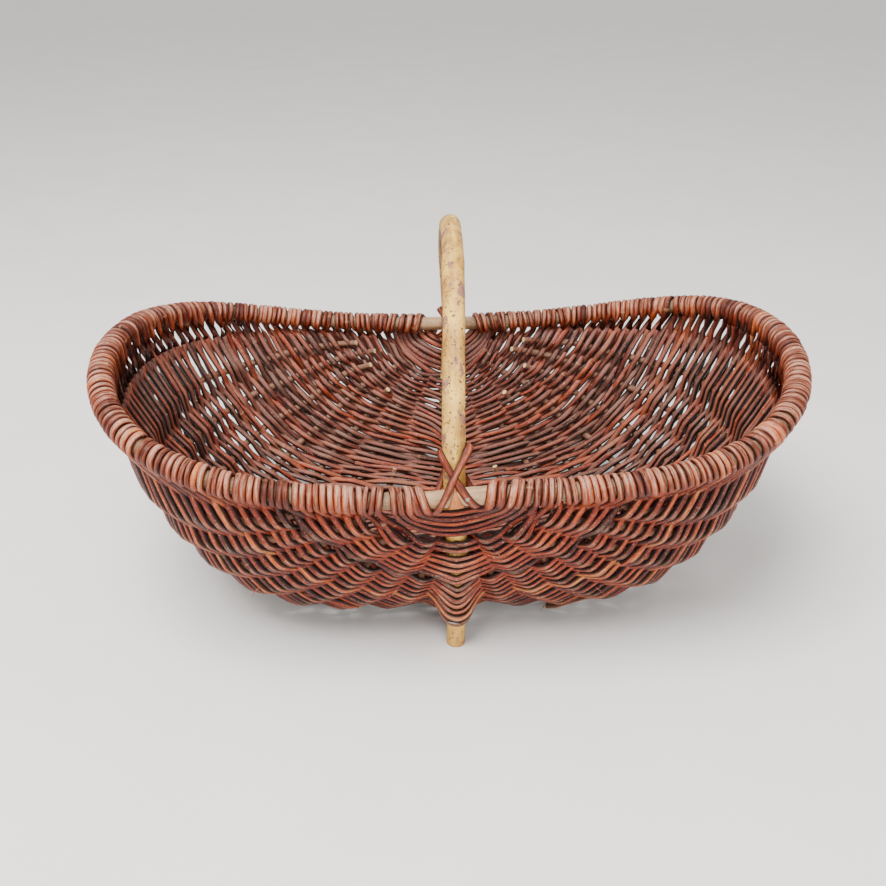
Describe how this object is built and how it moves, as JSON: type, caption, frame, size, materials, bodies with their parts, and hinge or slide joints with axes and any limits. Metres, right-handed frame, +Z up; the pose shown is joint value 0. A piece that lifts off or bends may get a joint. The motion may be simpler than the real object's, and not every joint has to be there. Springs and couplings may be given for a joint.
{
  "type": "wicker harvest basket",
  "caption": "Oblong frame basket of woven willow with upswept rim ends, a rounded belly and one bow handle whose ends stand out below as feet.",
  "frame": {"origin": "centre of the footprint on the ground, in the plane of the two cut feet", "axes": "+X along the long way of the basket, +Y from the front handle seat to the back one, +Z up through the bow handle"},
  "size_m": [0.5682, 0.3432, 0.3112],
  "materials": {
    "rim": "bare willow rod, grey and tan, weathered",
    "handle": "peeled thick rod, light tan with grey patches",
    "ribs": "taupe willow bark",
    "weave": "mahogany brown willow bark",
    "binding": "red brown willow bark, rubbed lighter on top",
    "lashing": "split willow, tan"
  },
  "bodies": {
    "root": {"rim": "rim", "handle": "handle", "rib_middle": "ribs", "rib_left_1": "ribs", "rib_left_2": "ribs", "rib_left_3": "ribs", "rib_left_4": "ribs", "rib_left_5": "ribs", "rib_left_6": "ribs", "rib_left_7": "ribs", "rib_right_1": "ribs", "rib_right_2": "ribs", "rib_right_3": "ribs", "rib_right_4": "ribs", "rib_right_5": "ribs", "rib_right_6": "ribs", "rib_right_7": "ribs", "weave_seat_front": "weave", "weave_front": "weave", "weave_band_1": "weave", "weave_band_2": "weave", "weave_band_3": "weave", "weave_band_4": "weave", "weave_band_5": "weave", "weave_band_6": "weave", "weave_band_7": "weave", "weave_back": "weave", "weave_seat_back": "weave", "rim_binding_left": "binding", "rim_binding_right": "binding", "lashing_front_1": "lashing", "lashing_front_2": "lashing", "lashing_back_1": "lashing", "lashing_back_2": "lashing"}
  },
  "joints": []
}
